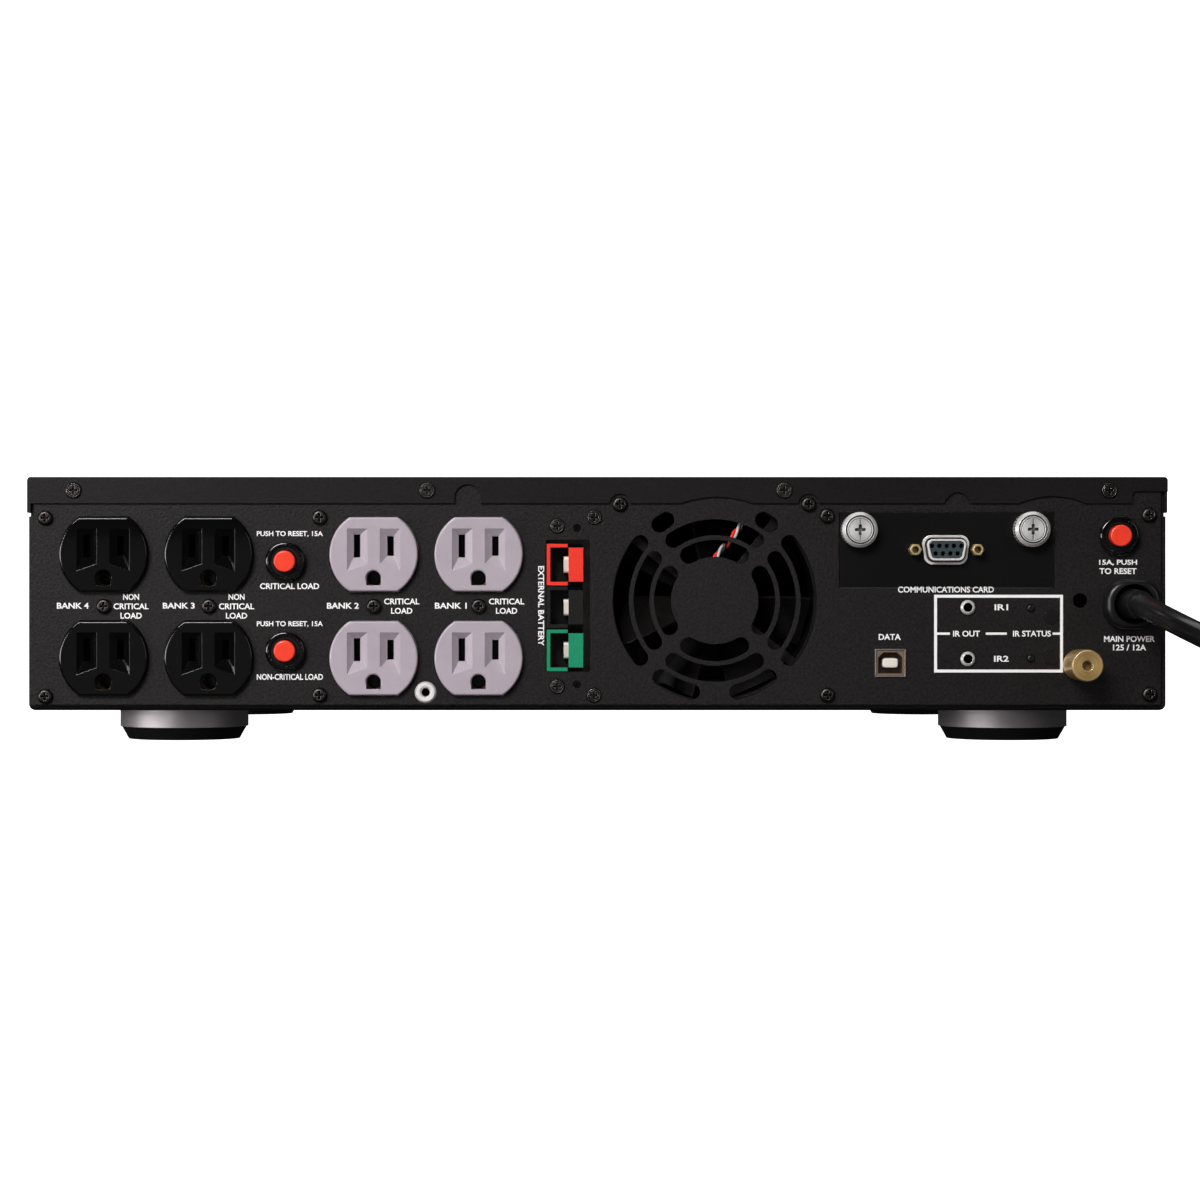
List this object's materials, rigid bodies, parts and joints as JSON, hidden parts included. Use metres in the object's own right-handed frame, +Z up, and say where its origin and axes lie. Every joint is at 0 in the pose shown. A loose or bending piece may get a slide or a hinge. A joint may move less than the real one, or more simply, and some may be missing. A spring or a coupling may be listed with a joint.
{
  "type": "rackmount uninterruptible power supply",
  "caption": "Low wide rack-mount power supply on round feet, rear panel with mains receptacles, resettable breakers, battery sockets, fan grille and communications card.",
  "frame": {"origin": "centre of the footprint, on the surface that the feet stand on", "axes": "+X to the right seen from the rear panel, +Y from the rear panel towards the front bezel, +Z up"},
  "size_m": [0.5838, 0.5187, 0.1022],
  "materials": {
    "powder_coat": "fine textured",
    "card_paint": "satin",
    "bezel_plastic": "fine texture",
    "gloss_black": "gloss",
    "receptacle_grey": "semi-gloss",
    "black_plastic": "satin",
    "red_button": "semi-gloss",
    "red_plastic": "satin",
    "green_plastic": "satin",
    "ivory_plastic": "satin",
    "grey_plastic": "satin",
    "silver_contact": "plated",
    "zinc_steel": "zinc plated",
    "nickel": "bright nickel",
    "black_steel": "black oxide",
    "brass": "turned",
    "foot_aluminium": "brushed",
    "foot_rubber": "matt",
    "clear_window": "gloss",
    "circuit_board": "solder mask",
    "battery_case": "matt",
    "winding": "varnished",
    "heat_sink_alloy": "extruded",
    "cord_jacket": "satin"
  },
  "bodies": {
    "chassis": {"base_pan": "powder_coat", "rear_panel": "powder_coat", "top_cover": "powder_coat", "foot_rings": "foot_aluminium", "foot_pads": "foot_rubber", "foot_screws": "zinc_steel", "outlet_bank_1": "receptacle_grey", "outlet_bank_2": "receptacle_grey", "outlet_bank_3": "gloss_black", "outlet_bank_4": "gloss_black", "outlet_contacts": "brass", "outlet_screws": "black_steel", "breaker_bodies": "black_plastic", "breaker_nuts": "gloss_black", "battery_bracket": "zinc_steel", "battery_socket_positive": "red_plastic", "battery_socket_middle": "black_plastic", "battery_socket_negative": "green_plastic", "battery_contacts": "silver_contact", "fan_bracket": "black_steel", "fan_frame": "black_plastic", "fan_lead": "red_plastic", "card_cage": "zinc_steel", "usb_shell": "zinc_steel", "usb_insert": "ivory_plastic", "ir_jacks": "nickel", "status_lamps": "black_plastic", "signal_board": "circuit_board", "ground_stud": "brass", "rivet_nut": "nickel", "panel_screws": "black_steel", "bracket_screws": "black_steel", "cover_screws": "black_steel", "strain_relief": "black_plastic", "front_bezel": "bezel_plastic", "display_window": "clear_window", "display_board": "circuit_board", "battery_tray": "zinc_steel", "batteries": "battery_case", "transformer": "winding", "main_board": "circuit_board", "heat_sinks": "heat_sink_alloy", "board_parts": "black_plastic", "power_cord": "cord_jacket", "cord_coil": "cord_jacket", "cord_plug": "black_plastic"},
    "comm_card": {"card_plate": "card_paint", "card_board": "circuit_board", "serial_shell": "nickel", "serial_insert": "grey_plastic", "serial_jackscrews": "nickel"},
    "thumbscrew_left_body": {"thumbscrew_left": "nickel"},
    "thumbscrew_right_body": {"thumbscrew_right": "nickel"},
    "fan_rotor_body": {"fan_rotor": "black_plastic"},
    "reset_button_1_body": {"reset_button_1": "red_button"},
    "reset_button_2_body": {"reset_button_2": "red_button"},
    "reset_button_3_body": {"reset_button_3": "red_button"},
    "ground_nut_body": {"ground_nut": "brass"},
    "power_key_body": {"power_key": "black_plastic"},
    "mode_key_body": {"mode_key": "black_plastic"}
  },
  "joints": [
    {"name": "card_slide", "type": "slide", "parent": "chassis", "child": "comm_card", "axis": [0, -1, 0], "range_m": [0, 0.14]},
    {"name": "thumbscrew_left_turn", "type": "hinge", "parent": "comm_card", "child": "thumbscrew_left_body", "pos_m": [0.099, -0.2008, 0.0821], "axis": [0, -1, 0], "continuous": true},
    {"name": "thumbscrew_right_turn", "type": "hinge", "parent": "comm_card", "child": "thumbscrew_right_body", "pos_m": [0.1642, -0.2008, 0.0823], "axis": [0, -1, 0], "continuous": true},
    {"name": "fan_spin", "type": "hinge", "parent": "chassis", "child": "fan_rotor_body", "pos_m": [0.0445, -0.2008, 0.0554], "axis": [0, 1, 0], "continuous": true},
    {"name": "reset_1_press", "type": "slide", "parent": "chassis", "child": "reset_button_1_body", "axis": [0, 1, 0], "range_m": [-0.003, 0.0015], "stiffness_N_per_m": 300},
    {"name": "reset_2_press", "type": "slide", "parent": "chassis", "child": "reset_button_2_body", "axis": [0, 1, 0], "range_m": [-0.003, 0.0015], "stiffness_N_per_m": 300},
    {"name": "reset_3_press", "type": "slide", "parent": "chassis", "child": "reset_button_3_body", "axis": [0, 1, 0], "range_m": [-0.003, 0.0015], "stiffness_N_per_m": 300},
    {"name": "ground_nut_turn", "type": "hinge", "parent": "chassis", "child": "ground_nut_body", "pos_m": [0.1822, -0.2008, 0.0311], "axis": [0, -1, 0], "continuous": true},
    {"name": "power_key_press", "type": "slide", "parent": "chassis", "child": "power_key_body", "axis": [0, -1, 0], "range_m": [0, 0.0012], "stiffness_N_per_m": 300},
    {"name": "mode_key_press", "type": "slide", "parent": "chassis", "child": "mode_key_body", "axis": [0, -1, 0], "range_m": [0, 0.0012], "stiffness_N_per_m": 300}
  ]
}
